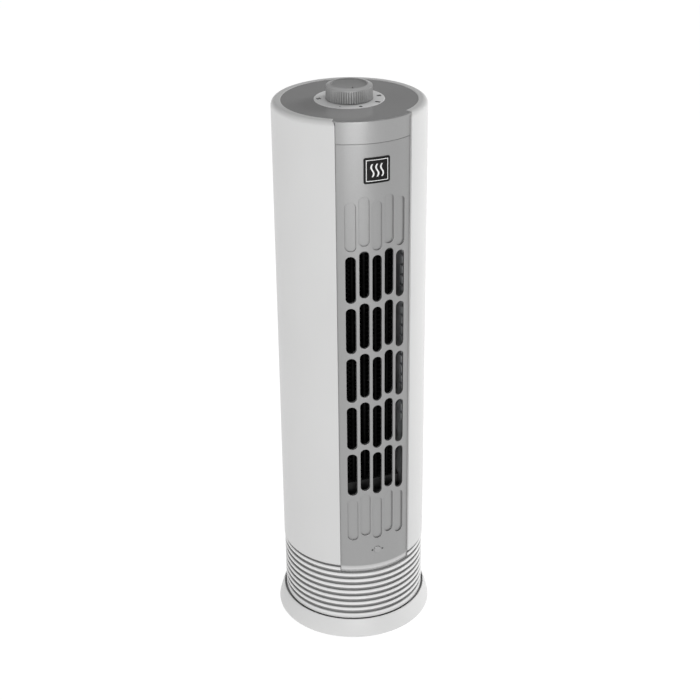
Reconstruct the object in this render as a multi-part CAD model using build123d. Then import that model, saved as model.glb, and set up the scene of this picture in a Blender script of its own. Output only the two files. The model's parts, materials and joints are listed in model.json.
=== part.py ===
from build123d import *
import math
import os

# A tower fan convector heater: a white cylindrical casing with a silver front grille, standing on a
# flared base on which the whole tower swings from side to side.
#
# Frame: millimetres, +Z up, origin on the floor under the tower's axis, front towards -Y.
# Air comes in through the rear grille, is thrown forward by a tall crossflow impeller through a PTC
# heater, and leaves by the slots of the front grille.

os.makedirs("parts", exist_ok=True)

# ---------------------------------------------------------------- driving dimensions
RIM_Z = 501.2  # top of the casing's rim
BODY_R = 66.0  # outside of the white casing
WALL = 2.2  # casing and grille wall
PANEL_R = 64.5  # outside of the silver front grille
PANEL_HALF = 30.5  # half angle of the front grille, degrees
CASING_HALF = 30.6  # half angle of the casing's front opening
CASING_Z = 76.4  # lower edge of the casing
BASE_R = 72.3  # outside of the flared base at the floor
BASE_TOP = 17.4  # top of the flared base
GAP_R = 66.8  # inside of the base's lip
SWING_DEG = 35.0  # swing to each side

# front grille
PANEL_Z0, PANEL_Z1 = 68.0, 481.8
SEAM, SEAM_CHAMFER = 0.15, 0.15  # joint between the grille and the band above it
BEVEL_H, BEVEL_D = 7.5, 1.9
SLOT_W, SLOT_L = 8.5, 42.8
SLOT_PITCH_X, SLOT_PITCH_Z = 11.1, 47.5
SLOT_STAGGER = 4.5
SLOT_TOP_Z = 431.8  # top end of the highest outer-column slot
SLOT_COLUMNS, SLOT_ROWS = 5, 7  # the first and last row are blind recesses
RECESS_DEPTH = 1.2
RECESS_W, RECESS_L = 8.9, 43.6  # the blind recesses are a little larger than the slots

# ribbed lower housing
RIB_R, GROOVE_R = 65.6, 63.2
RIB_TOP_Z, RIB_PITCH, RIB_COUNT, RIB_H = 71.9, 6.4, 8, 3.5
HOUSING_IN_R = 61.4
SLEEVE_R, SLEEVE_Z1 = 63.6, 100.0  # tongue of the housing that the casing is screwed to
FLOOR_Z, FLOOR_T = 16.3, 2.5
BAND_R = 65.2

# base interior
FEET_H = 1.5
SKIRT_Z = 0.5  # the skirt comes down nearly to the floor
PLATE_T = 2.0
PLATE_R = 70.2
DECK_Z, DECK_T = 13.0, 2.0
HUB_R, HUB_BORE = 14.0, 7.5
HUB_TOP = 20.5
HUB_CLEARANCE = 0.08

# swing drive: a fixed gear on the hub and a pinion on the swing motor
MODULE = 1.0
GEAR_TEETH, PINION_TEETH = 48, 12
GEAR_T = 4.5
GEAR_DISTANCE = MODULE * (GEAR_TEETH + PINION_TEETH) / 2
BACKLASH = 0.14

# air path
FAN_X, FAN_Y = 0.0, 12.0
FAN_R, FAN_IN_R = 28.0, 21.5
FAN_Z0 = 151.0
FAN_BLADES, FAN_STAGES = 26, 5
STAGE_H, FAN_DISC_T = 47.5, 1.5
FAN_Z1 = FAN_Z0 + FAN_STAGES * STAGE_H
DUCT_Z0, DUCT_Z1, DUCT_END_T = 146.0, 393.0, 3.0
BEARING_Z = DUCT_Z1 + 1.2
DUCT_T = 1.8
DUCT_FRONT_Y, TONGUE_X = -54.0, 29.2
SCROLL_R, SCROLL_FROM, SCROLL_TO = 33.0, 205.0, 100.0
DUCT_RIBS, DUCT_RIB_Z0, DUCT_RIB_PITCH, DUCT_RIB_H = 18, 217.0, 9.5, 6.2
SHAFT_R, SHAFT_FIT = 2.5, 0.05

# heater block
HEATER_Y0, HEATER_Y1 = -47.0, -33.0
HEATER_Z0, HEATER_Z1 = 153.0, 386.0
BAR_X, BAR_W = (-16.0, -5.3, 5.3, 16.0), 2.6
SIDE_X0, SIDE_X1 = 22.2, 23.2  # thin strips that close the heater's sides
FIN_PITCH, FIN_W = 4.4, 1.6

# controls
KNOB_R, KNOB_TOP_R, KNOB_FACE_R = 20.0, 19.5, 15.9
KNOB_Z0, KNOB_EDGE_Z, KNOB_Z1 = 501.5, 512.7, 513.9
KNURLS = 60
DISC_R, DISC_Z0, DISC_Z1 = 57.7, 498.0, RIM_Z - 0.3
DISC_FRONT_R = PANEL_R - 0.75  # the disc runs out to this radius over the front band
DISC_GAP = 0.08  # between the disc and the rim round it
DIAL_R, DIAL_Z0, DIAL_Z1 = 29.8, DISC_Z1 - 0.5, DISC_Z1 + 0.3
SHAFT_HOLE_R = 9.2  # opening of the disc and the dial round the switch's nut
BUTTON_R, BUTTON_Z, BUTTON_FIT = 3.4, 91.2, 0.08
BUTTON_TRAVEL = 1.2


# ---------------------------------------------------------------- helpers
def profile(*points):
    """A face in the XZ plane from (radius, height) points."""
    return Plane.XZ * make_face(Polyline(*points, close=True))


def turned(face, start=None, arc=360.0):
    """Revolves a profile about Z. start and arc are in degrees from +X, turning towards +Y."""
    solid = revolve(face, Axis.Z, arc)
    if start is None:
        return solid
    return Rot(0, 0, start) * solid


def tube(r_out, r_in, z0, z1, x=0.0, y=0.0):
    """A ring or, with no inner radius, a disc standing between two heights."""
    height = z1 - z0
    solid = Cylinder(r_out, height, align=(Align.CENTER, Align.CENTER, Align.MIN))
    if r_in > 0:
        solid -= Cylinder(r_in, height, align=(Align.CENTER, Align.CENTER, Align.MIN))
    return Pos(x, y, z0) * solid


def block(x0, x1, y0, y1, z0, z1):
    """A box from its corner coordinates."""
    return Pos(x0, y0, z0) * Box(x1 - x0, y1 - y0, z1 - z0, align=(Align.MIN,) * 3)


def front_arc(half, r_out, r_in, z0, z1, middle=-90.0):
    """A curved wall centred on a direction, the front unless another is given."""
    face = profile((r_in, z0), (r_out, z0), (r_out, z1), (r_in, z1))
    return turned(face, middle - half, 2 * half)


def obround_cutter(width, length, x, z_top, y0, y1):
    """A long slot with round ends, standing upright and running through along Y."""
    middle = z_top - length / 2
    shape = Plane.XZ * Pos(x, middle) * SlotOverall(length, width, rotation=90)
    return Pos(0, y1, 0) * extrude(shape, y1 - y0)


def radial_cylinder(radius, angle, z, r0, r1):
    """A cylinder lying along a radius at an angle from +X, from r0 to r1."""
    rod = Cylinder(radius, r1 - r0, align=(Align.CENTER, Align.CENTER, Align.MIN))
    return Rot(0, 0, angle) * Pos(r0, 0, z) * Rot(0, 90, 0) * rod


def screw(x, y, z_head, length, r=1.5, head_r=3.0, head_h=2.0, up=False):
    """A pan head screw with a cross recess. Its head is below the thread unless up is set."""
    head = Cylinder(head_r, head_h, align=(Align.CENTER, Align.CENTER, Align.MAX))
    head = fillet(head.edges().group_by(Axis.Z)[0], 0.6)
    shank = Cylinder(r, length, align=(Align.CENTER, Align.CENTER, Align.MIN))
    cross = Pos(0, 0, -head_h) * (Box(head_r * 1.1, 0.8, 1.8) + Box(0.8, head_r * 1.1, 1.8))
    part = head + shank - cross
    if up:
        part = Rot(180, 0, 0) * part
    return Pos(x, y, z_head) * part


def around(radius, count, start=0.0):
    """Points evenly spaced on a circle."""
    for k in range(count):
        a = math.radians(start + 360.0 * k / count)
        yield radius * math.cos(a), radius * math.sin(a)


def group(solids):
    """Several separate solids as one node."""
    return Compound(children=list(solids))


def save(name, shape):
    """Writes one node."""
    export_step(shape, f"parts/{name}.step")


def gear_face(teeth, bore, turn=0.0):
    """A spur gear's outline from the involute formula, with a bore."""
    pitch = MODULE * teeth / 2
    base = pitch * math.cos(math.radians(20))
    tip, root = pitch + 0.95 * MODULE, pitch - 1.2 * MODULE
    half = (math.pi * MODULE / 2 - BACKLASH) / (2 * pitch)

    def involute(r):
        if r <= base:
            return 0.0
        a = math.acos(base / r)
        return math.tan(a) - a

    at_pitch = involute(pitch)
    start = max(root, base)
    radii = [root] + [start + (tip - start) * k / 4 for k in range(5)]
    if start == root:
        radii = radii[1:]
    points = []
    for tooth in range(teeth):
        middle = 2 * math.pi * tooth / teeth + math.radians(turn)
        offsets = [half + at_pitch - involute(r) for r in radii]
        flank = [(r, middle - o) for r, o in zip(radii, offsets)]
        flank += [(r, middle + o) for r, o in zip(reversed(radii), reversed(offsets))]
        points += [(r * math.cos(a), r * math.sin(a)) for r, a in flank]
    return make_face(Polyline(*points, close=True)) - Circle(bore)


# ---------------------------------------------------------------- base, which stands still
FEET_AT = list(around(60.0, 4, 45))
PLATE_SCREWS_AT = list(around(59.0, 4, 20))
PLATE_Z = FEET_H
PLATE_TOP = PLATE_Z + PLATE_T
FOOT_STEM_R = 3.0
PLUNGER_X, PLUNGER_Y = 0.0, 26.0
PLUNGER_R, PLUNGER_FIT = 2.4, 0.08
PLUNGER_COLLAR_Z, PLUNGER_TOP = 8.6, 10.6
GLAND_Z, GLAND_R, GLAND_BORE = 8.2, 4.3, 3.5
GLAND_SEAT_R, GLAND_SEAT_Y0, GLAND_SEAT_Y1 = 6.7, 65.5, 70.5
STOP_R, STOP_PEG = 40.0, 3.0
GEAR_SCREW_R, GEAR_SCREWS_AT = 0.9, list(around(10.7, 3, 90))


def base_shell():
    """Flared skirt, inner deck, lip and the hollow hub that the tower turns on."""
    with BuildPart() as shell:
        with BuildSketch(Plane.XZ):
            with BuildLine():
                Polyline((BASE_R, SKIRT_Z), (BASE_R, SKIRT_Z + 1.2))
                ThreePointArc((BASE_R, SKIRT_Z + 1.2), (70.35, 9.2), (67.9, BASE_TOP - 0.7))
                ThreePointArc((67.9, BASE_TOP - 0.7), (67.65, BASE_TOP - 0.2), (67.1, BASE_TOP))
                Polyline(
                    (67.1, BASE_TOP),
                    (GAP_R, BASE_TOP - 0.5),
                    (GAP_R, DECK_Z + DECK_T),
                    (HUB_R, DECK_Z + DECK_T),
                    (HUB_R, HUB_TOP),
                    (HUB_BORE, HUB_TOP),
                    (HUB_BORE, DECK_Z),
                    (66.2, DECK_Z),
                    (PLATE_R + 0.5, PLATE_TOP + 0.5),
                    (PLATE_R + 0.5, SKIRT_Z),
                    (BASE_R, SKIRT_Z),
                )
            make_face()
        revolve(axis=Axis.Z)
    part = shell.part
    pads = [tube(4.0, 0, PLATE_TOP, DECK_Z + 0.5, x, y) for x, y in PLATE_SCREWS_AT]
    part += pads
    for x, y in PLATE_SCREWS_AT:
        part -= tube(1.25, 0, 0, DECK_Z - 0.8, x, y)
    seat = radial_cylinder(GLAND_SEAT_R, 90, GLAND_Z, GLAND_SEAT_Y0, GLAND_SEAT_Y1)
    part += seat - block(-20, 20, 50, 80, 0, PLATE_TOP + 0.1) - block(-20, 20, 50, 80, DECK_Z, 30)
    part -= radial_cylinder(GLAND_SEAT_R + 0.1, 90, GLAND_Z, GLAND_SEAT_Y1, 90)
    part -= radial_cylinder(GLAND_R + 0.05, 90, GLAND_Z, 50, 90)
    # stop peg that ends the swing, and three pilot holes for the fixed gear's screws
    part += tube(STOP_PEG, 0, DECK_Z + DECK_T - 0.5, FLOOR_Z + FLOOR_T - 0.3, 0, STOP_R)
    for x, y in GEAR_SCREWS_AT:
        part -= tube(GEAR_SCREW_R + 0.05, 0, DECK_Z + 0.5, HUB_TOP, x, y)
    return part


def base_plate():
    """Bottom cover with holes for the feet, the screws and the tip-over plunger."""
    part = tube(PLATE_R, 0, PLATE_Z, PLATE_TOP)
    part = fillet(part.edges().group_by(Axis.Z)[0], 0.6)
    for x, y in FEET_AT:
        part -= tube(FOOT_STEM_R + 0.05, 0, 0, 10, x, y)
    for x, y in PLATE_SCREWS_AT:
        part -= tube(1.7, 0, 0, 10, x, y)
        part -= tube(3.3, 0, 0, PLATE_Z + 0.9, x, y)
    part += tube(4.4, 0, PLATE_TOP - 0.5, PLATE_TOP + 1.5, PLUNGER_X, PLUNGER_Y)
    part -= tube(PLUNGER_R + PLUNGER_FIT, 0, 0, 10, PLUNGER_X, PLUNGER_Y)
    # moulded stiffening rings on the underside
    for r in (20.0, 46.0):
        part -= tube(r + 1.0, r, PLATE_Z, PLATE_Z + 0.5)
    return part


def rubber_feet():
    """Four feet, each a disc with a stem pushed through the plate."""
    feet = []
    for x, y in FEET_AT:
        disc = Cylinder(7.0, FEET_H, align=(Align.CENTER, Align.CENTER, Align.MIN))
        disc = fillet(disc.edges().group_by(Axis.Z)[0], 0.5)
        stem = Pos(0, 0, FEET_H) * Cylinder(
            FOOT_STEM_R, PLATE_T + 1.0, align=(Align.CENTER, Align.CENTER, Align.MIN)
        )
        feet.append(Pos(x, y, 0) * (disc + stem))
    return group(feet)


def ballast_ring():
    """Steel ring clamped between plate and deck that keeps the centre of mass low."""
    part = tube(54.0, 34.0, PLATE_TOP, DECK_Z)
    return part - block(PLUNGER_X + 1.0, PLUNGER_X + 27.0, 18.0, 37.0, 0, 20)


def glide_ring():
    """Slippery plastic ring between the base deck and the tower's floor."""
    return tube(61.0, 50.0, DECK_Z + DECK_T, FLOOR_Z - 0.1)


def fixed_gear():
    """Spur gear screwed to the hub. It holds the tower down, and the pinion walks round it."""
    part = Pos(0, 0, HUB_TOP) * extrude(gear_face(GEAR_TEETH, HUB_BORE), GEAR_T)
    for x, y in GEAR_SCREWS_AT:
        part -= tube(GEAR_SCREW_R + 0.4, 0, HUB_TOP, HUB_TOP + GEAR_T, x, y)
    return part - tube(20.0, 15.5, HUB_TOP + 2.5, HUB_TOP + GEAR_T)


def gear_screws():
    """Three small screws that fix the gear to the hub."""
    top = HUB_TOP + GEAR_T
    size = dict(r=GEAR_SCREW_R, head_r=2.2, head_h=1.4, up=True)
    return group([screw(x, y, top, 6.5, **size) for x, y in GEAR_SCREWS_AT])


def base_screws():
    """Four screws that close the bottom cover."""
    size = dict(r=1.2, head_r=3.0, head_h=0.8)
    return group([screw(x, y, PLATE_Z + 0.9, 6.0, **size) for x, y in PLATE_SCREWS_AT])


def cord_gland():
    """Bush in the rear of the base that the mains lead comes out of."""
    body = radial_cylinder(GLAND_R, 90, GLAND_Z, 62.5, GLAND_SEAT_Y1 + 0.5)
    flange = radial_cylinder(GLAND_SEAT_R - 0.4, 90, GLAND_Z, GLAND_SEAT_Y1, GLAND_SEAT_Y1 + 1.8)
    flange = fillet(flange.edges().group_by(Axis.Y)[-1], 0.9)
    return body + flange - radial_cylinder(GLAND_BORE, 90, GLAND_Z, 50, 80)


def gland_clip():
    """Spring clip that locks the gland from inside."""
    part = radial_cylinder(6.6, 90, GLAND_Z, GLAND_SEAT_Y0 - 1.4, GLAND_SEAT_Y0)
    part -= radial_cylinder(GLAND_R + 0.02, 90, GLAND_Z, 50, 80)
    part -= block(-3.2, 3.2, 50, 70, GLAND_Z, 30)
    return part & block(-20, 20, 50, 80, PLATE_TOP + 0.1, DECK_Z - 0.1)


def tip_switch():
    """Snap switch that cuts the power when the plunger drops: a case, its terminals and its lever."""
    x0, y0, top = PLUNGER_X + 5.5, PLUNGER_Y - 5.0, PLATE_TOP + 6.9
    case = block(x0, x0 + 16.0, y0, y0 + 10.0, PLATE_TOP, top)
    case = fillet(case.edges().filter_by(Axis.Z), 0.8)
    lever = block(x0 - 7.0, x0 + 9.0, y0 + 3.0, y0 + 7.0, top + 0.4, top + 0.8)
    lever += block(x0 + 8.4, x0 + 9.0, y0 + 3.0, y0 + 7.0, top, top + 0.8)
    tabs = [block(x0 + 16.0, x0 + 19.0, y0 + k, y0 + k + 2.4, 5.0, 5.6) for k in (1.2, 6.4)]
    return case + lever + tabs


def tip_plunger():
    """Pin that the floor holds up and that drops when the heater is lifted or falls over."""
    pin = tube(PLUNGER_R, 0, 0, PLUNGER_COLLAR_Z + 0.5, PLUNGER_X, PLUNGER_Y)
    pin = fillet(pin.edges().group_by(Axis.Z)[0], 0.8)
    collar = tube(3.8, 0, PLUNGER_COLLAR_Z, PLUNGER_COLLAR_Z + 1.0, PLUNGER_X, PLUNGER_Y)
    return pin + collar + tube(1.0, 0, PLUNGER_COLLAR_Z + 0.9, PLUNGER_TOP, PLUNGER_X, PLUNGER_Y)


# ---------------------------------------------------------------- tower shells
OSC_PLATE_Z, OSC_PLATE_T = HUB_TOP + GEAR_T + 0.6, 1.6
OSC_POSTS_AT = ((-29.0, -34.0), (29.0, -34.0))
OSC_SCREW_R = 1.1
SHELF_Z = BUTTON_Z - 13.5

# screws round the back of the casing as (angle, height): two into the housing, four round the
# intake grille into the duct's end plates, two into the top cover
CASING_SCREWS = (
    (63.0, 92.0),
    (117.0, 92.0),
    (72.0, 128.0),
    (108.0, 128.0),
    (72.0, 414.0),
    (108.0, 414.0),
    (63.0, 470.0),
    (117.0, 470.0),
)
CASING_SCREW_R, SCREW_BOSS_R = 1.4, 3.8
SCREW_SEAT_R, SCREW_SEAT_DEPTH = 3.3, 1.2


def screw_boss(angle, z, z0, z1):
    """Boss inside the casing for one of its screws, with the web that joins it to its plate."""
    web = Rot(0, 0, angle) * block(54.0, 61.5, -SCREW_BOSS_R, SCREW_BOSS_R, z0, z1)
    boss = web + radial_cylinder(SCREW_BOSS_R, angle, z, 54.0, BODY_R - WALL - 0.2)
    return boss - radial_cylinder(CASING_SCREW_R + 0.05, angle, z, 55.0, 70.0)


def lower_housing():
    """Ribbed lower body with the floor that turns on the base."""
    bottom, top = FLOOR_Z, CASING_Z
    with BuildPart() as wall:
        with BuildSketch(Plane.XZ):
            with BuildLine() as outline:
                z = RIB_TOP_Z - RIB_PITCH * RIB_COUNT + RIB_H / 2
                Polyline(
                    (HOUSING_IN_R, bottom),
                    (BAND_R - 1.0, bottom),
                    (BAND_R, bottom + 1.0),
                    (BAND_R, z - 0.8),
                    (BAND_R - 0.8, z),
                    (GROOVE_R, z),
                )
                last = (GROOVE_R, z)
                for k in range(RIB_COUNT):
                    middle = RIB_TOP_Z - RIB_PITCH * (RIB_COUNT - 1 - k)
                    low, high = middle - RIB_H / 2, middle + RIB_H / 2
                    Line(last, (GROOVE_R, low))
                    Line((GROOVE_R, low), (RIB_R - 1.0, low))
                    ThreePointArc((RIB_R - 1.0, low), (RIB_R, middle), (RIB_R - 1.0, high))
                    Line((RIB_R - 1.0, high), (GROOVE_R, high))
                    last = (GROOVE_R, high)
                Polyline(
                    last,
                    (GROOVE_R, top + 5.0),
                    (HOUSING_IN_R, top + 5.0),
                    (HOUSING_IN_R, bottom),
                )
            make_face()
        revolve(axis=Axis.Z)
    part = wall.part
    part += tube(HOUSING_IN_R + 0.5, HUB_R + HUB_CLEARANCE, bottom, bottom + FLOOR_T)
    part += tube(HUB_R + 3.5, HUB_R + HUB_CLEARANCE, bottom, HUB_TOP - 0.2)
    # seat for the front grille, which reaches down over the highest rib
    part -= front_arc(PANEL_HALF + 0.35, BODY_R + 5, PANEL_R - WALL - 0.15, PANEL_Z0 - 0.3, top + 10)
    # curved slot for the stop peg
    reach = SWING_DEG + math.degrees(STOP_PEG / STOP_R) + 1.2
    slot_in, slot_out = STOP_R - STOP_PEG - 0.6, STOP_R + STOP_PEG + 0.6
    part -= front_arc(reach, slot_out, slot_in, bottom - 1, bottom + FLOOR_T + 1, middle=90)
    # posts for the swing motor's bracket, and a shelf for the swing switch
    for x, y in OSC_POSTS_AT:
        part += tube(3.6, 0, bottom + FLOOR_T - 0.5, OSC_PLATE_Z, x, y)
        part -= tube(OSC_SCREW_R + 0.05, 0, OSC_PLATE_Z - 5.6, OSC_PLATE_Z, x, y)
    part += front_arc(14.0, HOUSING_IN_R + 0.4, 46.0, SHELF_Z - 2.5, SHELF_Z)
    # tongue at the back that stands up inside the casing and takes its lower screws
    part += front_arc(42.0, SLEEVE_R, HOUSING_IN_R, top + 0.3, SLEEVE_Z1, middle=90)
    for angle, z in CASING_SCREWS[:2]:
        part += radial_cylinder(SCREW_BOSS_R, angle, z, 54.0, SLEEVE_R - 0.6)
        part -= radial_cylinder(CASING_SCREW_R + 0.05, angle, z, 55.0, 70.0)
    return part


REAR_HALF, REAR_Z0, REAR_Z1 = 34.0, 140.0, 402.0
REAR_CORNER = 5.0
RIM_ROUND = 4.3  # rounding of the rim and of the casing's two front top corners


def rear_window(half, z0, z1, corner):
    """The rear opening's cutter: a rounded rectangle seen from behind, cut straight through."""
    width = 2 * BODY_R * math.sin(math.radians(half))
    shape = Plane.XZ * Pos(0, (z0 + z1) / 2) * RectangleRounded(width, z1 - z0, corner)
    return Pos(0, 90, 0) * extrude(shape, 60)


def rim_corner(side, gap=0.0):
    """What rounds off the end of the rim at one side of the grille, or fills that corner with a gap."""
    edge, inside = sorted((0.0, side * RIM_ROUND))
    corner = block(50.0, 75.0, edge, inside, RIM_Z - RIM_ROUND, RIM_Z + 1)
    centre = Pos(62.5, side * RIM_ROUND, RIM_Z - RIM_ROUND)
    corner -= centre * Rot(0, 90, 0) * Cylinder(RIM_ROUND + gap, 40)
    return Rot(0, 0, -90 + side * CASING_HALF) * corner


def rear_casing():
    """White shell that wraps the sides and back, with a rounded rim and an opening for the intake."""
    inner = BODY_R - WALL
    shoulder = BODY_R - RIM_ROUND
    diagonal = RIM_ROUND * math.sin(math.radians(45))
    with BuildPart() as shell:
        with BuildSketch(Plane.XZ):
            with BuildLine():
                Polyline((BODY_R - 0.5, CASING_Z), (BODY_R, CASING_Z + 0.5), (BODY_R, RIM_Z - RIM_ROUND))
                ThreePointArc(
                    (BODY_R, RIM_Z - RIM_ROUND),
                    (shoulder + diagonal, RIM_Z - RIM_ROUND + diagonal),
                    (shoulder, RIM_Z),
                )
                Polyline(
                    (shoulder, RIM_Z),
                    (DISC_R + DISC_GAP + 0.4, RIM_Z),
                    (DISC_R + DISC_GAP, RIM_Z - 0.3),
                    (DISC_R + DISC_GAP, DISC_Z0 + 0.5),
                    (inner, DISC_Z0 + 0.5),
                    (inner, CASING_Z),
                    (BODY_R - 0.5, CASING_Z),
                )
            make_face()
        revolve(axis=Axis.Z, revolution_arc=360 - 2 * CASING_HALF)
    part = Rot(0, 0, -90 + CASING_HALF) * shell.part
    part -= rear_window(REAR_HALF, REAR_Z0, REAR_Z1, REAR_CORNER)
    part -= [rim_corner(side) for side in (-1, 1)]
    for angle, z in CASING_SCREWS:
        part -= radial_cylinder(CASING_SCREW_R + 0.3, angle, z, 50.0, 80.0)
        part -= radial_cylinder(SCREW_SEAT_R, angle, z, BODY_R - SCREW_SEAT_DEPTH, 80.0)
    return part


def panel_wall():
    """The front grille's curved plate before its slots, with the bevelled lower edge."""
    inner = PANEL_R - WALL
    face = profile(
        (inner, PANEL_Z0),
        (PANEL_R - BEVEL_D, PANEL_Z0),
        (PANEL_R - BEVEL_D * 0.35, PANEL_Z0 + BEVEL_H * 0.45),
        (PANEL_R, PANEL_Z0 + BEVEL_H),
        (PANEL_R, PANEL_Z1 - SEAM_CHAMFER),
        (PANEL_R - SEAM_CHAMFER, PANEL_Z1),
        (inner, PANEL_Z1),
    )
    return turned(face, -90 - PANEL_HALF, 2 * PANEL_HALF)


def front_grille():
    """Silver front panel: five columns of slots in five open rows, with a blind row above and below."""
    part = panel_wall()
    cutters = []
    for row in range(SLOT_ROWS):
        for column in range(SLOT_COLUMNS):
            x = (column - (SLOT_COLUMNS - 1) / 2) * SLOT_PITCH_X
            z = SLOT_TOP_Z - row * SLOT_PITCH_Z + (SLOT_STAGGER if column % 2 else 0)
            if row in (0, SLOT_ROWS - 1):
                z += (RECESS_L - SLOT_L) / 2
                cutter = obround_cutter(RECESS_W, RECESS_L, x, z, -80, -40)
                cutter -= tube(PANEL_R - RECESS_DEPTH, 0, z - RECESS_L - 5, z + 5)
            else:
                cutter = obround_cutter(SLOT_W, SLOT_L, x, z, -80, -40)
            cutters.append(cutter)
    part -= cutters
    part -= Pos(0, -PANEL_R, BUTTON_Z) * Rot(90, 0, 0) * Cylinder(BUTTON_R + BUTTON_FIT, 20)
    # edges that slip behind the casing, and snap hooks at the top
    for side in (-1, 1):
        edge = -90 + side * (PANEL_HALF + 1.0)
        part += front_arc(2.0, BODY_R - WALL - 0.2, PANEL_R - WALL - 0.5, 83.0, 476.0, edge)
        hook = -90 + side * 18.0
        part += front_arc(4.0, PANEL_R - WALL + 0.3, PANEL_R - WALL - 2.0, 474.0, 479.0, hook)
    return part


def rear_grille():
    """Intake grille that fills the casing's rear opening, with rows of long slots."""
    part = tube(BODY_R - 0.3, BODY_R - WALL, REAR_Z0 - 4, REAR_Z1 + 4)
    part &= rear_window(REAR_HALF - 0.25, REAR_Z0 + 0.3, REAR_Z1 - 0.3, REAR_CORNER)
    flange = tube(BODY_R - WALL - 0.1, BODY_R - WALL - 1.6, REAR_Z0 - 5, REAR_Z1 + 5)
    flange &= rear_window(REAR_HALF + 3.0, REAR_Z0 - 4, REAR_Z1 + 4, REAR_CORNER)
    part += flange
    part += front_arc(20, BODY_R - WALL + 0.2, BODY_R - WALL - 0.5, REAR_Z0 + 4, REAR_Z1 - 4, middle=90)
    cutters = []
    rows = 6
    length = (REAR_Z1 - REAR_Z0 - 12) / rows - 5.0
    for row in range(rows):
        z = REAR_Z1 - 8.5 - row * (length + 5.0)
        for column in range(9):
            x = (column - 4) * 7.6
            cutters.append(obround_cutter(4.6, length, x, z, 40, 80))
    part -= cutters
    return part


def top_cover():
    """Silver cap: the front band above the grille, and the shelf under the dark disc."""
    shelf_r = BODY_R - WALL - 0.3
    band_z0 = PANEL_Z1 + SEAM
    part = tube(shelf_r, 0, DISC_Z0 - 2.4, DISC_Z0)
    part += tube(shelf_r, shelf_r - 2.0, band_z0 + 0.1, DISC_Z0 - 2.0)
    band = profile(
        (PANEL_R - WALL, band_z0),
        (PANEL_R - SEAM_CHAMFER, band_z0),
        (PANEL_R, band_z0 + SEAM_CHAMFER),
        (PANEL_R, DISC_Z1 - 0.8),
        (PANEL_R - 0.12, DISC_Z1 - 0.35),
        (PANEL_R - 0.4, DISC_Z1),
        (DISC_FRONT_R + 0.05, DISC_Z1),
        (DISC_FRONT_R + 0.05, DISC_Z0),
        (PANEL_R - WALL, DISC_Z0),
    )
    part += turned(band, -90 - PANEL_HALF, 2 * PANEL_HALF)
    part -= tube(5.2, 0, DISC_Z0 - 5, RIM_Z)
    for angle, z in CASING_SCREWS[6:]:
        part += screw_boss(angle, z, z - SCREW_BOSS_R, DISC_Z0 - 2.0)
    return part


def control_disc():
    """Dark glossy disc that covers the top and runs out to the front band between the rim's ends."""
    part = tube(DISC_R, 0, DISC_Z0, DISC_Z1)
    part += front_arc(CASING_HALF, DISC_FRONT_R, DISC_R - 5, DISC_Z0, DISC_Z1)
    margin = tube(DISC_FRONT_R, DISC_R - 1, DISC_Z0, DISC_Z1)
    part += [margin & rim_corner(side, DISC_GAP) for side in (-1, 1)]
    part -= tube(DIAL_R + 0.05, 0, DIAL_Z0, DISC_Z1)
    return part - tube(SHAFT_HOLE_R, 0, DISC_Z0, DISC_Z1)


def dial_ring():
    """Light ring round the knob that carries the settings."""
    part = tube(DIAL_R, SHAFT_HOLE_R, DIAL_Z0, DIAL_Z1)
    return chamfer(part.edges().group_by(Axis.Z)[-1].sort_by(SortBy.RADIUS)[-1], 0.2)


def badge_plate():
    """Blank dark nameplate bent to the front panel."""
    half_w, half_h, z = 11.5, 11.1, 459.1
    shape = Plane.XZ * Pos(0, z) * RectangleRounded(2 * half_w, 2 * half_h, 1.6)
    column = Pos(0, -50, 0) * extrude(shape, 30)
    return column & tube(PANEL_R + 0.45, PANEL_R + 0.01, z - 20, z + 20)


# ---------------------------------------------------------------- air path
def duct_scroll_wall():
    """Left wall of the air channel, which wraps the impeller like a snail."""
    a = math.radians(SCROLL_FROM)
    meet = (FAN_X + SCROLL_R * math.cos(a), FAN_Y + SCROLL_R * math.sin(a))
    with BuildSketch() as plan:
        with BuildLine():
            Polyline((-27.6, DUCT_FRONT_Y), (-28.6, -20.0), meet)
            offset(amount=DUCT_T / 2, side=Side.BOTH)
        make_face()
    part = Pos(0, 0, DUCT_Z0) * extrude(plan.sketch, DUCT_Z1 - DUCT_Z0)
    middle, half = (SCROLL_FROM + SCROLL_TO) / 2, (SCROLL_FROM - SCROLL_TO) / 2
    outer, inner = SCROLL_R + DUCT_T / 2, SCROLL_R - DUCT_T / 2
    return part + Pos(FAN_X, FAN_Y, 0) * front_arc(half, outer, inner, DUCT_Z0, DUCT_Z1, middle)


def duct_tongue_wall():
    """Right wall of the air channel with its tongue near the impeller and its stiffening ribs."""
    with BuildSketch() as plan:
        with BuildLine():
            Polyline((TONGUE_X, DUCT_FRONT_Y), (TONGUE_X, -20.0), (23.0, -11.5))
            offset(amount=DUCT_T / 2, side=Side.BOTH)
        make_face()
    part = Pos(0, 0, DUCT_Z0) * extrude(plan.sketch, DUCT_Z1 - DUCT_Z0)
    face = TONGUE_X - DUCT_T / 2
    for k in range(DUCT_RIBS):
        z = DUCT_RIB_Z0 + k * DUCT_RIB_PITCH
        part += block(face - 1.6, face + 0.3, DUCT_FRONT_Y, HEATER_Y0 - 2.4, z, z + DUCT_RIB_H)
    return part


def duct_end(z0, z1):
    """End plate of the air channel, cut to clear the casing."""
    plate = tube(60.5, 0, z0, z1)
    return plate & block(-38.0, 38.0, -61.0, 61.0, z0, z1)


def duct_bottom_plate():
    """Lower end plate of the air channel; the motor hangs under it."""
    part = duct_end(DUCT_Z0 - DUCT_END_T, DUCT_Z0)
    for angle, z in CASING_SCREWS[2:4]:
        part += screw_boss(angle, z, z - SCREW_BOSS_R, DUCT_Z0)
    part -= tube(9.0, 0, 100, 200, FAN_X, FAN_Y)
    for x, y in MOTOR_POSTS_AT:
        part -= tube(MOTOR_SCREW_R + 0.05, 0, 100, 200, x, y)
    return part


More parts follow.
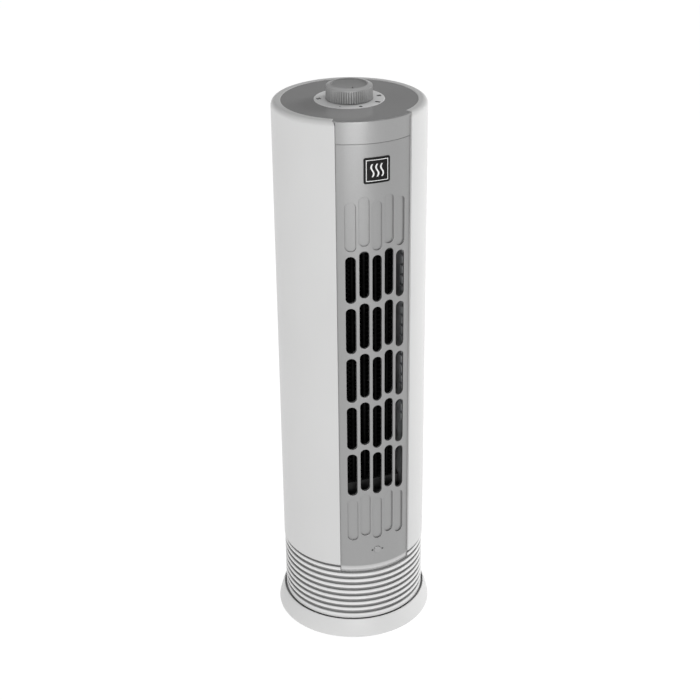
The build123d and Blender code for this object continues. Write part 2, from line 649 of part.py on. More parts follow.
def duct_top_plate():
    """Upper end plate of the air channel with the seat for the impeller's bearing."""
    part = duct_end(DUCT_Z1, DUCT_Z1 + DUCT_END_T)
    for angle, z in CASING_SCREWS[4:6]:
        part += screw_boss(angle, z, DUCT_Z1, z + SCREW_BOSS_R)
    part += tube(12.0, 0, DUCT_Z1 + 2.0, DUCT_Z1 + 7.0, FAN_X, FAN_Y)
    part -= tube(9.0, 0, BEARING_Z, 500, FAN_X, FAN_Y)
    return part - tube(6.0, 0, 300, 500, FAN_X, FAN_Y)


def impeller():
    """Crossflow impeller: five stages of curved blades between thin discs."""
    mean = (FAN_R + FAN_IN_R) / 2
    with BuildSketch() as blade:
        with BuildLine():
            ThreePointArc((FAN_IN_R, 0.0), (mean + 0.4, 1.9), (FAN_R - 0.3, 5.2))
            offset(amount=0.5, side=Side.BOTH)
        make_face()
    long_blade = Pos(0, 0, FAN_Z0 + 1.0) * extrude(blade.sketch, FAN_Z1 - FAN_Z0 - 0.5)
    blades = [Rot(0, 0, 360.0 * k / FAN_BLADES) * long_blade for k in range(FAN_BLADES)]
    floor = tube(FAN_R + 0.6, 0, FAN_Z0, FAN_Z0 + FAN_DISC_T)
    lid = tube(FAN_R + 0.6, 0, FAN_Z1, FAN_Z1 + FAN_DISC_T)
    discs = []
    for k in range(1, FAN_STAGES):
        z = FAN_Z0 + k * STAGE_H
        discs.append(tube(FAN_R + 0.6, FAN_IN_R - 2.0, z, z + FAN_DISC_T))
    part = floor + blades + discs + lid
    part += tube(7.0, 0, FAN_Z0 - 1.0, FAN_Z0 + 12.0)
    part += tube(6.0, 0, FAN_Z1 - 8.0, FAN_Z1 + 0.5)
    part -= tube(SHAFT_R, 0, FAN_Z0 - 5.0, FAN_Z0 + 10.0)
    part -= tube(SHAFT_R, 0, FAN_Z1 - 6.0, FAN_Z1 + 5.0)
    return Pos(FAN_X, FAN_Y, 0) * part


def fan_axle():
    """Short steel axle at the top of the impeller."""
    part = tube(SHAFT_R, 0, FAN_Z1 - 6.0, DUCT_Z1 + 6.5, FAN_X, FAN_Y)
    return chamfer(part.edges().group_by(Axis.Z)[-1], 0.4)


def bearing_bush():
    """Sintered bush for the impeller's upper axle."""
    return tube(5.0, SHAFT_R + SHAFT_FIT, BEARING_Z + 0.4, DUCT_Z1 + 6.0, FAN_X, FAN_Y)


def bearing_rubber():
    """Rubber ring that holds the bush and takes up vibration."""
    part = tube(8.95, 5.02, BEARING_Z, DUCT_Z1 + 6.6, FAN_X, FAN_Y)
    return part + tube(5.5, 3.6, BEARING_Z, BEARING_Z + 0.4, FAN_X, FAN_Y)


# ---------------------------------------------------------------- heater
def heater_bars():
    """Four upright flat tubes that hold the PTC stones."""
    bars = []
    for x in BAR_X:
        bar = block(x - BAR_W / 2, x + BAR_W / 2, HEATER_Y0, HEATER_Y1, HEATER_Z0, HEATER_Z1)
        bars.append(fillet(bar.edges().filter_by(Axis.Z), 1.0))
    return group(bars)


def heater_sides():
    """Thin metal strips along the outer columns of fins."""
    y0, y1 = HEATER_Y0 + 1.0, HEATER_Y1 - 1.0
    z0, z1 = HEATER_Z0 + 5.0, HEATER_Z1 - 5.0
    return group([block(SIDE_X0, SIDE_X1, y0, y1, z0, z1), block(-SIDE_X1, -SIDE_X0, y0, y1, z0, z1)])


def heater_fins():
    """Corrugated aluminium strips between the bars, one in each column."""
    half = BAR_W / 2
    lefts = [-SIDE_X0] + [x + half for x in BAR_X]
    rights = [x - half for x in BAR_X] + [SIDE_X0]
    z0 = HEATER_Z0 + 6.0
    waves = int((HEATER_Z1 - HEATER_Z0 - 12.0) / FIN_PITCH)
    strips = []
    for left, right in zip(lefts, rights):
        near = []
        for k in range(2 * waves + 1):
            near.append((left if k % 2 else right - FIN_W, z0 + k * FIN_PITCH / 2))
        far = [(x + FIN_W, z) for x, z in reversed(near)]
        strip = extrude(profile(*near, *far), HEATER_Y1 - HEATER_Y0 - 2.0)
        strips.append(Pos(0, HEATER_Y1 - 1.0, 0) * strip)
    return group(strips)


def heater_frame(z0, z1, slot_z0, slot_z1):
    """Heat-proof plastic end frame that the bars stand in."""
    part = block(-26.5, 26.5, HEATER_Y0 - 2.0, HEATER_Y1 + 2.0, z0, z1)
    part = fillet(part.edges().filter_by(Axis.Z), 1.5)
    for x in BAR_X:
        part -= block(x - BAR_W / 2, x + BAR_W / 2, HEATER_Y0, HEATER_Y1, slot_z0, slot_z1)
    return part


def heater_frame_lower():
    """Lower end frame, standing on the duct's bottom plate."""
    return heater_frame(DUCT_Z0, HEATER_Z0 + 5.0, HEATER_Z0, HEATER_Z0 + 6.0)


def heater_frame_upper():
    """Upper end frame, under the duct's top plate."""
    return heater_frame(HEATER_Z1 - 5.0, DUCT_Z1, HEATER_Z1 - 6.0, HEATER_Z1)


def thermal_cutout():
    """Bimetal disc switch above the heater."""
    x, y, z = -20.0, -38.0, DUCT_Z1 + DUCT_END_T
    part = tube(7.5, 0, z, z + 3.0, x, y) + tube(6.0, 0, z + 3.0, z + 8.0, x, y)
    for side in (-1, 1):
        part += block(x + side * 4.0 - 0.4, x + side * 4.0 + 0.4, y - 3.0, y + 3.0, z + 7.5, z + 16.0)
    return part


def thermal_fuse():
    """One-shot fuse in its sleeve beside the cut-out."""
    x, y, z = 14.0, -38.0, DUCT_Z1 + DUCT_END_T + 2.4
    body = Pos(x, y, z) * Rot(0, 90, 0) * Cylinder(2.2, 14.0)
    leads = Pos(x, y, z) * Rot(0, 90, 0) * Cylinder(0.6, 26.0)
    feet = block(x - 13.0, x - 11.8, y - 0.6, y + 0.6, DUCT_Z1 + DUCT_END_T, z)
    feet += block(x + 11.8, x + 13.0, y - 0.6, y + 0.6, DUCT_Z1 + DUCT_END_T, z)
    return body + leads + feet


# ---------------------------------------------------------------- fan motor
STACK_Z0, STACK_Z1 = 106.0, 122.0
ROTOR_R, BORE_R = 14.5, 14.9
MOTOR_POSTS_AT = ((-23.0, -4.0), (23.0, -4.0), (-23.0, 28.0), (23.0, 28.0))
MOTOR_SCREW_R = 1.4
COIL_X, COIL_Y0, COIL_Y1 = 15.5, 31.5, 51.0
LEG_Y0, LEG_Y1 = 37.0, 45.0
COIL_CHEEK = 1.5


def motor_stator():
    """Laminated iron of the shaded pole motor, with its shading slots."""
    part = block(-27.0, 27.0, FAN_Y - 19.0, LEG_Y1, STACK_Z0, STACK_Z1)
    part = fillet(part.edges().filter_by(Axis.Z), 2.0)
    part -= tube(BORE_R, 0, 90, 140, FAN_X, FAN_Y)
    part -= block(-17.0, 17.0, COIL_Y0 - 0.2, LEG_Y0, 90, 140)
    for x, y in MOTOR_POSTS_AT:
        part -= tube(1.6, 0, 90, 140, x, y)
    for k in (45.0, 225.0):
        part -= Pos(FAN_X, FAN_Y, 110) * Rot(0, 0, k) * Pos(BORE_R + 2.0, 0, 0) * Box(7.0, 1.2, 60)
    return part


def coil_bobbin():
    """Bobbin on the stator's rear leg."""
    z0, z1 = STACK_Z0 - 6.0, STACK_Z1 + 6.0
    core = block(-COIL_X, COIL_X, LEG_Y0 - 1.2, LEG_Y1 + 1.2, STACK_Z0 - 1.2, STACK_Z1 + 1.2)
    for x in (-COIL_X, COIL_X - COIL_CHEEK):
        cheek = block(x, x + COIL_CHEEK, COIL_Y0, COIL_Y1, z0, z1)
        core += fillet(cheek.edges().filter_by(Axis.X), 2.5)
    return core - block(-20, 20, LEG_Y0, LEG_Y1, STACK_Z0, STACK_Z1)


def coil_winding():
    """Copper winding in its tape, between the bobbin's cheeks."""
    x = COIL_X - COIL_CHEEK
    part = block(-x, x, COIL_Y0 + 0.8, COIL_Y1 - 0.8, STACK_Z0 - 5.2, STACK_Z1 + 5.2)
    part = fillet(part.edges().filter_by(Axis.X), 2.0)
    return part - block(-20, 20, LEG_Y0 - 1.2, LEG_Y1 + 1.2, STACK_Z0 - 1.2, STACK_Z1 + 1.2)


def motor_bracket(z0, boss_z0, boss_z1):
    """Stamped bar with a bearing boss, screwed to the laminations."""
    part = block(-27.0, 27.0, FAN_Y - 19.0, FAN_Y + 19.0, z0, z0 + 1.5)
    part = fillet(part.edges().filter_by(Axis.Z), 4.0)
    part -= block(-12.0, 12.0, FAN_Y + 9.5, FAN_Y + 25, z0 - 1, z0 + 3)
    part -= block(-12.0, 12.0, FAN_Y - 25, FAN_Y - 9.5, z0 - 1, z0 + 3)
    part += tube(7.0, 0, boss_z0, boss_z1, FAN_X, FAN_Y)
    part -= tube(SHAFT_R + SHAFT_FIT, 0, 80, 160, FAN_X, FAN_Y)
    for x, y in MOTOR_POSTS_AT:
        part -= tube(1.6, 0, 80, 160, x, y)
    return part


def motor_bracket_upper():
    """Upper bearing bracket of the fan motor."""
    return motor_bracket(STACK_Z1 + 7.5, STACK_Z1 + 5.0, STACK_Z1 + 13.0)


def motor_bracket_lower():
    """Lower bearing bracket of the fan motor."""
    return motor_bracket(STACK_Z0 - 9.0, STACK_Z0 - 14.0, STACK_Z0 - 5.0)


def motor_spacers():
    """Sleeves that space the brackets from the laminations and from the duct."""
    sleeves = []
    spans = (
        (STACK_Z0 - 7.5, STACK_Z0),
        (STACK_Z1, STACK_Z1 + 7.5),
        (STACK_Z1 + 9.0, DUCT_Z0 - DUCT_END_T),
    )
    for x, y in MOTOR_POSTS_AT:
        sleeves += [tube(3.4, 1.6, z0, z1, x, y) for z0, z1 in spans]
    return group(sleeves)


def motor_screws():
    """Long screws from under the motor up into the duct's end plate."""
    z = STACK_Z0 - 9.0
    return group([screw(x, y, z, DUCT_Z0 - z, r=MOTOR_SCREW_R) for x, y in MOTOR_POSTS_AT])


def motor_rotor():
    """Aluminium cage rotor."""
    part = tube(ROTOR_R, SHAFT_R, STACK_Z0, STACK_Z1, FAN_X, FAN_Y)
    part += tube(ROTOR_R - 1.0, 9.0, STACK_Z1, STACK_Z1 + 2.5, FAN_X, FAN_Y)
    return part + tube(ROTOR_R - 1.0, 9.0, STACK_Z0 - 2.5, STACK_Z0, FAN_X, FAN_Y)


def motor_shaft():
    """Steel shaft from the motor's lower bearing up into the impeller."""
    part = tube(SHAFT_R, 0, STACK_Z0 - 15.0, FAN_Z0 + 10.0, FAN_X, FAN_Y)
    return chamfer(part.edges().group_by(Axis.Z)[0], 0.4)


# ---------------------------------------------------------------- swing drive
OSC_X, OSC_Y = 0.0, -GEAR_DISTANCE
OSC_R, OSC_H = 19.5, 16.0
OSC_EARS_AT = ((OSC_X - 23.0, OSC_Y + 4.0), (OSC_X + 23.0, OSC_Y + 4.0))
PINION_SHAFT_R, PINION_FIT = 1.6, 0.06
OSC_SWITCH_Y = -56.0  # front of the swing switch's case


def osc_bracket():
    """Steel plate on two posts that carries the swing motor over the fixed gear."""
    part = block(-35.0, 35.0, -50.0, -15.0, OSC_PLATE_Z, OSC_PLATE_Z + OSC_PLATE_T)
    part = fillet(part.edges().filter_by(Axis.Z), 6.0)
    part -= tube(5.0, 0, 0, 60, OSC_X, OSC_Y)
    for x, y in OSC_POSTS_AT:
        part -= tube(OSC_SCREW_R + 0.4, 0, 0, 60, x, y)
    for x, y in OSC_EARS_AT:
        part -= tube(OSC_SCREW_R + 0.05, 0, 0, 60, x, y)
    return part


def osc_motor():
    """Flat synchronous motor that drives the swing."""
    z = OSC_PLATE_Z + OSC_PLATE_T
    can = tube(OSC_R, 0, z, z + OSC_H, OSC_X, OSC_Y)
    can = fillet(can.edges().group_by(Axis.Z)[-1], 1.5)
    can += tube(4.8, 0, OSC_PLATE_Z, z, OSC_X, OSC_Y)
    can += block(OSC_X - 9.0, OSC_X + 9.0, OSC_Y - 23.5, OSC_Y - 17.0, z + 3.0, z + 13.0)
    for x, y in OSC_EARS_AT:
        can += block(min(x, OSC_X), max(x, OSC_X), y - 3.5, y + 3.5, z, z + 1.0)
        can += tube(3.5, 0, z, z + 1.0, x, y)
        can -= tube(OSC_SCREW_R + 0.3, 0, 0, 60, x, y)
    return can - tube(PINION_SHAFT_R + PINION_FIT, 0, 0, z + 4.0, OSC_X, OSC_Y)


def osc_pinion():
    """Pinion of the swing drive with its shaft."""
    half_tooth = 180.0 / PINION_TEETH
    part = Pos(OSC_X, OSC_Y, HUB_TOP + 0.3) * extrude(
        gear_face(PINION_TEETH, 0.4, turn=half_tooth), GEAR_T - 0.6
    )
    top = OSC_PLATE_Z + OSC_PLATE_T + 3.5
    return part + tube(PINION_SHAFT_R, 0, HUB_TOP - 0.8, top, OSC_X, OSC_Y)


def osc_screws():
    """Two screws that hold the plate on its posts and two that hold the motor on the plate."""
    z = OSC_PLATE_Z + OSC_PLATE_T
    found = [screw(x, y, z, 6.0, r=OSC_SCREW_R, head_r=2.4, head_h=1.6, up=True) for x, y in OSC_POSTS_AT]
    for x, y in OSC_EARS_AT:
        found.append(screw(x, y, z + 1.0, 2.8, r=OSC_SCREW_R, head_r=2.4, head_h=1.6, up=True))
    return group(found)


def lying_cylinder(r, y0, y1, z):
    """A cylinder on the front's centre line, lying along Y."""
    return radial_cylinder(r, -90, z, -y1, -y0)


def osc_button():
    """Round push button in the front panel that starts and stops the swing."""
    cap = lying_cylinder(BUTTON_R, -PANEL_R - 0.5, -PANEL_R + 3.0, BUTTON_Z)
    cap = fillet(cap.edges().group_by(Axis.Y)[0], 0.5)
    collar_y = -PANEL_R + WALL + 0.3
    collar = lying_cylinder(BUTTON_R + 1.3, collar_y, collar_y + 1.2, BUTTON_Z)
    stem = lying_cylinder(1.5, collar_y, OSC_SWITCH_Y - 0.5 - BUTTON_TRAVEL, BUTTON_Z)
    return cap + collar + stem


def osc_switch():
    """Latching switch behind the swing button, with its foot."""
    y = OSC_SWITCH_Y
    body = block(-5.0, 5.0, y, y + 8.0, BUTTON_Z - 5.0, BUTTON_Z + 5.0)
    body = fillet(body.edges().filter_by(Axis.Y), 0.8)
    stem = lying_cylinder(1.2, y - 0.4, y + 0.5, BUTTON_Z)
    foot = block(-3.0, 3.0, y + 3.0, y + 7.0, SHELF_Z + 1.0, BUTTON_Z - 4.5)
    foot += block(-9.0, 9.0, y, y + 8.0, SHELF_Z, SHELF_Z + 2.0)
    tabs = [block(k - 1.0, k + 1.0, y + 8.0, y + 12.0, BUTTON_Z - 0.4, BUTTON_Z + 0.4) for k in (-3, 3)]
    return body + stem + foot + tabs


# ---------------------------------------------------------------- controls
SWITCH_Z0, SWITCH_Z1 = 470.0, DISC_Z0 - 2.4
SWITCH_SHAFT_R, SWITCH_FIT = 3.0, 0.06
SWITCH_TABS_AT = list(around(11.0, 5, 18))


def rotary_switch():
    """Rotary selector switch hung under the shelf by its threaded bush."""
    part = tube(16.0, 0, SWITCH_Z0, SWITCH_Z1 - 1.0)
    part = fillet(part.edges().group_by(Axis.Z)[0], 1.5)
    part += block(-14.0, 14.0, -14.0, 14.0, SWITCH_Z1 - 2.5, SWITCH_Z1)
    part += tube(4.8, 0, SWITCH_Z1 - 1.0, RIM_Z + 0.4)
    for x, y in SWITCH_TABS_AT:
        part += block(x - 1.4, x + 1.4, y - 0.4, y + 0.4, SWITCH_Z0 - 7.0, SWITCH_Z0 + 1.0)
    return part - tube(SWITCH_SHAFT_R + SWITCH_FIT, 0, SWITCH_Z0 + 6.0, RIM_Z + 5)


def switch_nut():
    """Hexagon nut on the switch's bush."""
    shape = RegularPolygon(7.4, 6) - Circle(4.85)
    return Pos(0, 0, DISC_Z0) * extrude(shape, 2.4)


def switch_shaft():
    """Steel shaft of the selector, flattened where the knob grips it."""
    part = tube(SWITCH_SHAFT_R, 0, SWITCH_Z0 + 7.0, KNOB_Z1 - 3.4)
    return part - block(-5, 5, 1.5, 5, KNOB_Z0 + 0.5, KNOB_Z1)


def knob():
    """Selector knob: a knurled skirt, a bevelled shoulder and a dished face with a pointer."""
    with BuildPart() as turned_knob:
        with BuildSketch(Plane.XZ):
            with BuildLine():
                Polyline(
                    (17.6, KNOB_Z0),
                    (KNOB_R, KNOB_Z0),
                    (KNOB_TOP_R, KNOB_EDGE_Z),
                    (KNOB_FACE_R, KNOB_Z1),
                    (KNOB_FACE_R - 0.7, KNOB_Z1),
                    (KNOB_FACE_R - 1.3, KNOB_Z1 - 0.9),
                )
                ThreePointArc(
                    (KNOB_FACE_R - 1.3, KNOB_Z1 - 0.9),
                    (7.5, KNOB_Z1 - 1.25),
                    (0, KNOB_Z1 - 1.35),
                )
                Polyline(
                    (0, KNOB_Z1 - 1.35),
                    (0, KNOB_Z1 - 3.4),
                    (15.0, KNOB_Z1 - 3.4),
                    (17.4, KNOB_EDGE_Z - 2.0),
                    (17.6, KNOB_Z0),
                )
            make_face()
        revolve(axis=Axis.Z)
    part = turned_knob.part
    lean = math.degrees(math.atan((KNOB_R - KNOB_TOP_R) / (KNOB_EDGE_Z - KNOB_Z0)))
    groove = Rot(0, -lean, 0) * Rot(0, 0, 45) * Box(0.85, 0.85, KNOB_EDGE_Z - KNOB_Z0 - 1.0)
    groove = Pos(KNOB_R - 0.1, 0, (KNOB_EDGE_Z + KNOB_Z0 - 1.0) / 2) * groove
    part -= [Rot(0, 0, 360.0 * (k + 0.5) / KNURLS) * groove for k in range(KNURLS)]
    # raised pointer at the front of the dished face
    part += block(-1.0, 1.0, -KNOB_FACE_R + 0.4, -KNOB_FACE_R + 6.5, KNOB_Z1 - 2.4, KNOB_Z1 - 0.1)
    boss = tube(6.0, 0, KNOB_Z0 + 0.6, KNOB_Z1 - 3.2)
    boss -= tube(SWITCH_SHAFT_R, 0, KNOB_Z0, KNOB_Z1 - 3.4)
    boss += block(-2.5, 2.5, 1.5, 4.0, KNOB_Z0 + 1.0, KNOB_Z1 - 3.3)
    return part + boss


# ---------------------------------------------------------------- wiring and fasteners
TERMINAL_X, TERMINAL_Y = -40.0, 8.0
WIRE_R = 1.1


def terminal_block():
    """Screw terminals where the mains lead meets the inner wires."""
    x0, y0, z0 = TERMINAL_X - 7.0, TERMINAL_Y - 14.0, FLOOR_Z + FLOOR_T
    part = block(x0, x0 + 14.0, y0, y0 + 28.0, z0, z0 + 13.0)
    part = fillet(part.edges().filter_by(Axis.Z), 1.0)
    for k in range(3):
        y = y0 + 5.0 + 9.0 * k
        part -= tube(1.8, 0, z0 + 7.0, z0 + 20.0, x0 + 4.0, y)
        part -= tube(1.8, 0, z0 + 7.0, z0 + 20.0, x0 + 10.0, y)
    return part


def wire(points, bend):
    """A round wire along straight runs joined by arcs."""
    path = FilletPolyline(*points, radius=bend)
    section = Plane(origin=path @ 0, z_dir=path % 0) * Circle(WIRE_R)
    return sweep(section, path=path)


def wiring():
    """Three wires from the terminal block up the left side to the selector switch."""
    wires = []
    tabs = (SWITCH_TABS_AT[3], SWITCH_TABS_AT[2], SWITCH_TABS_AT[1])
    for k, (tab_x, tab_y) in enumerate(tabs):
        x, y = TERMINAL_X - 3.0, TERMINAL_Y - 9.0 + 9.0 * k
        run_y = 2.0 + 4.0 * k
        points = (
            (x, y, FLOOR_Z + FLOOR_T + 7.0),
            (x, y, 70.0),
            (-52.0, run_y, 110.0),
            (-52.0, run_y, 400.0),
            (tab_x, tab_y, 440.0),
            (tab_x, tab_y, SWITCH_Z0 - 7.0),
        )
        wires.append(wire(points, 8.0))
    return group(wires)


def casing_screws():
    """Eight screws round the back of the casing."""
    found = []
    for angle, z in CASING_SCREWS:
        one = screw(0, 0, 0, 7.0, r=CASING_SCREW_R, head_r=2.9, head_h=1.1)
        seat = BODY_R - SCREW_SEAT_DEPTH
        found.append(Rot(0, 0, angle) * Pos(seat, 0, z) * Rot(0, -90, 0) * one)
    return group(found)


NODES = {
    "base_shell": base_shell,
    "base_plate": base_plate,
    "rubber_feet": rubber_feet,
    "ballast_ring": ballast_ring,
    "glide_ring": glide_ring,
    "fixed_gear": fixed_gear,
    "gear_screws": gear_screws,
    "base_screws": base_screws,
    "cord_gland": cord_gland,
    "gland_clip": gland_clip,
    "tip_switch": tip_switch,
    "tip_plunger": tip_plunger,
    "lower_housing": lower_housing,
    "rear_casing": rear_casing,
    "front_grille": front_grille,
    "rear_grille": rear_grille,
    "top_cover": top_cover,
    "control_disc": control_disc,
    "dial_ring": dial_ring,
    "badge_plate": badge_plate,
    "duct_scroll_wall": duct_scroll_wall,
    "duct_tongue_wall": duct_tongue_wall,
    "duct_bottom_plate": duct_bottom_plate,
    "duct_top_plate": duct_top_plate,
    "impeller": impeller,
    "fan_axle": fan_axle,
    "bearing_bush": bearing_bush,
    "bearing_rubber": bearing_rubber,
    "heater_bars": heater_bars,
    "heater_sides": heater_sides,
    "heater_fins": heater_fins,
    "heater_frame_lower": heater_frame_lower,
    "heater_frame_upper": heater_frame_upper,
    "thermal_cutout": thermal_cutout,
    "thermal_fuse": thermal_fuse,
    "motor_stator": motor_stator,
    "coil_bobbin": coil_bobbin,
    "coil_winding": coil_winding,
    "motor_bracket_upper": motor_bracket_upper,
    "motor_bracket_lower": motor_bracket_lower,
    "motor_spacers": motor_spacers,
    "motor_screws": motor_screws,
    "motor_rotor": motor_rotor,
    "motor_shaft": motor_shaft,
    "osc_bracket": osc_bracket,
    "osc_motor": osc_motor,
    "osc_pinion": osc_pinion,
    "osc_screws": osc_screws,
    "osc_button": osc_button,
    "osc_switch": osc_switch,
    "rotary_switch": rotary_switch,
    "switch_nut": switch_nut,
    "switch_shaft": switch_shaft,
    "knob": knob,
    "terminal_block": terminal_block,
    "wiring": wiring,
    "casing_screws": casing_screws,
}

for name, make in NODES.items():
    save(name, make())
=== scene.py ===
# Looks for the tower fan convector heater: materials for the CAD nodes, printed marks, light and camera.
# Everything is in metres in the CAD frame: +Z up, front towards -Y, origin on the floor under the axis.

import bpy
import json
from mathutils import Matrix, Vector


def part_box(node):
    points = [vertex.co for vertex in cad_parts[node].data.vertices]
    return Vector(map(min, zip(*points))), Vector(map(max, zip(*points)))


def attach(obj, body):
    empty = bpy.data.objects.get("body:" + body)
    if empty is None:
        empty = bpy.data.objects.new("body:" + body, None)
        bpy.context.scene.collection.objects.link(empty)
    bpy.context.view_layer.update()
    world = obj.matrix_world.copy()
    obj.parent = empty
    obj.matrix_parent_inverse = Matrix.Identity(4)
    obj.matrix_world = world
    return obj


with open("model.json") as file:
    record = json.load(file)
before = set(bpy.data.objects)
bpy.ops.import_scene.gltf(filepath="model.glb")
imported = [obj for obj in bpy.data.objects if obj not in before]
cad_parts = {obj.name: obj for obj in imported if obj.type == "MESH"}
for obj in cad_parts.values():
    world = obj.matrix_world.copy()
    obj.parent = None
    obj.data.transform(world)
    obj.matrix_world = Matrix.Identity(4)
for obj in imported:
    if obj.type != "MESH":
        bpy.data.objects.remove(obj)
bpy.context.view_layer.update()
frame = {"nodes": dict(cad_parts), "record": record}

import json
import math

import bmesh
import bpy
from mathutils import Matrix, Vector

MM = 0.001
NODES = frame["nodes"]

# ---------------------------------------------------------------- camera
CAMERA_SEAT = -20.0  # where it stands round the heater, in degrees from the front, towards +X
CAMERA_DISTANCE, CAMERA_HEIGHT = 1.2179, 0.8696  # from the axis and above the floor
CAMERA_TURN = -19.93  # where it points, in degrees: pan, downward pitch and roll
CAMERA_PITCH = 26.36
CAMERA_ROLL = -0.57
CAMERA_LENS, CAMERA_SENSOR = 77.2, 36.0  # mm


def make_camera():
    """A long lens looking down on the heater from its front left."""
    data = bpy.data.cameras.new("camera")
    data.lens = CAMERA_LENS
    data.sensor_width = CAMERA_SENSOR
    data.clip_start, data.clip_end = 0.05, 50.0
    camera = bpy.data.objects.new("camera", data)
    bpy.context.scene.collection.objects.link(camera)
    seat = math.radians(CAMERA_SEAT)
    place = Vector((math.sin(seat), -math.cos(seat), 0)) * CAMERA_DISTANCE
    place.z = CAMERA_HEIGHT
    turn = Matrix.Rotation(math.radians(CAMERA_TURN), 4, "Z")
    tilt = Matrix.Rotation(math.radians(90 - CAMERA_PITCH), 4, "X")
    roll = Matrix.Rotation(math.radians(CAMERA_ROLL), 4, "Z")
    camera.matrix_world = Matrix.Translation(place) @ turn @ tilt @ roll
    bpy.context.scene.camera = camera


# ---------------------------------------------------------------- materials
class Nodes:
    """A short way to write a material's node tree."""

    def __init__(self, name):
        self.material = bpy.data.materials.new(name)
        self.material.use_nodes = True
        self.tree = self.material.node_tree
        self.shader = self.tree.nodes["Principled BSDF"]
        self.coords = self.add("ShaderNodeTexCoord").outputs["Object"]

    def add(self, kind, **settings):
        node = self.tree.nodes.new(kind)
        for key, value in settings.items():
            setattr(node, key, value)
        return node

    def link(self, source, target):
        self.tree.links.new(source, target)

    def set(self, **values):
        """Sets the shader's own sockets, such as Coat_Weight=0.2."""
        for key, value in values.items():
            self.shader.inputs[key.replace("_", " ")].default_value = value

    def noise(self, scale, detail=2.0, stretch=(1, 1, 1)):
        """Noise in object space, scale in cycles per metre; stretch shortens the grain along an axis."""
        mapping = self.add("ShaderNodeMapping")
        mapping.inputs["Scale"].default_value = stretch
        self.link(self.coords, mapping.inputs["Vector"])
        noise = self.add("ShaderNodeTexNoise")
        noise.inputs["Scale"].default_value = scale
        noise.inputs["Detail"].default_value = detail
        self.link(mapping.outputs["Vector"], noise.inputs["Vector"])
        return noise.outputs["Fac"]

    def spread(self, source, low, high, start=0.3, end=0.7):
        """Maps a factor onto a range of values."""
        mapped = self.add("ShaderNodeMapRange")
        mapped.inputs["From Min"].default_value = start
        mapped.inputs["From Max"].default_value = end
        mapped.inputs["To Min"].default_value = low
        mapped.inputs["To Max"].default_value = high
        self.link(source, mapped.inputs["Value"])
        return mapped.outputs["Result"]

    def mix(self, factor, first, second):
        """Mixes two colours by a factor."""
        mixed = self.add("ShaderNodeMix", data_type="RGBA")
        self.link(factor, mixed.inputs["Factor"])
        for socket, colour in ((mixed.inputs[6], first), (mixed.inputs[7], second)):
            if isinstance(colour, tuple):
                socket.default_value = (*colour, 1.0)
            else:
                self.link(colour, socket)
        return mixed.outputs[2]

    def bump(self, source, strength, distance, radius=0.0):
        """Bump from a height, over edges softened by a small radius."""
        bump = self.add("ShaderNodeBump")
        bump.inputs["Strength"].default_value = strength
        bump.inputs["Distance"].default_value = distance
        self.link(source, bump.inputs["Height"])
        if radius:
            bevel = self.add("ShaderNodeBevel", samples=6)
            bevel.inputs["Radius"].default_value = radius
            self.link(bevel.outputs["Normal"], bump.inputs["Normal"])
        self.link(bump.outputs["Normal"], self.shader.inputs["Normal"])

    def colour(self, source):
        self.link(source, self.shader.inputs["Base Color"])

    def roughness(self, source):
        self.link(source, self.shader.inputs["Roughness"])


WHITE = (1.0, 1.0, 1.0)
WARM_WHITE = (1.0, 1.0, 0.997)
# light painted shade in creases, by ambient occlusion: reach, amount, and how open a place stays unshaded
LIGHT_CREASE_SHADE = (3.0 * MM, 0.1, 0.9)


def tone(value, tint=WHITE):
    """A near-grey colour."""
    return tuple(value * t for t in tint)


def paint_crease_shade(m, colour, value, tint, crease_shading):
    """Paints shade into a colour in creases, by ambient occlusion. The crease shading is the reach, the
    amount, and how open a place stays unshaded.
    """
    reach, amount, open_at = crease_shading
    shade = m.add("ShaderNodeAmbientOcclusion", samples=8, only_local=False)
    shade.inputs["Distance"].default_value = reach
    factor = m.spread(shade.outputs["AO"], amount, 0.0, 0.15, open_at)
    return m.mix(factor, colour, tone(value * 0.1, tint))


def by_radius(m, inside, outside, edge, blend=0.3 * MM):
    """Picks a colour by the distance from the heater's axis: one inside an edge, the other outside."""
    parts = m.add("ShaderNodeSeparateXYZ")
    m.link(m.coords, parts.inputs["Vector"])
    flat = m.add("ShaderNodeCombineXYZ")
    m.link(parts.outputs["X"], flat.inputs["X"])
    m.link(parts.outputs["Y"], flat.inputs["Y"])
    length = m.add("ShaderNodeVectorMath", operation="LENGTH")
    m.link(flat.outputs["Vector"], length.inputs[0])
    return m.mix(m.spread(length.outputs["Value"], 0.0, 1.0, edge - blend, edge + blend), inside, outside)


def moulded(name, value, tint=WHITE, rough=0.42, grain=0.02, radius=0.4 * MM, crease_shading=LIGHT_CREASE_SHADE, groove_shade=None):
    """Moulded plastic: fine spark-eroded grain, slow cloudiness and slightly uneven gloss.

    The groove shading, a radius and a tone, paints that tone on everything nearer to the axis than the
    radius: painted shade in the grooves between the ribs.
    """
    m = Nodes(name)
    cloud = m.noise(9.0, 3.0)
    colour = m.mix(m.spread(cloud, 0.0, 1.0), tone(value * 0.975, tint), tone(value * 1.015, tint))
    # painted shade in creases, by ambient occlusion
    if crease_shading:
        colour = paint_crease_shade(m, colour, value, tint, crease_shading)
    # painted shade in the grooves: a flat tone inside a radius from the axis
    if groove_shade:
        edge, shade = groove_shade
        colour = by_radius(m, tone(shade), colour, edge)
    m.colour(colour)
    m.roughness(m.spread(m.noise(260.0, 4.0), rough * 0.9, rough * 1.12))
    m.bump(m.noise(4200.0, 2.0), grain, 0.06 * MM, radius)
    m.set(IOR=1.49)
    return m.material


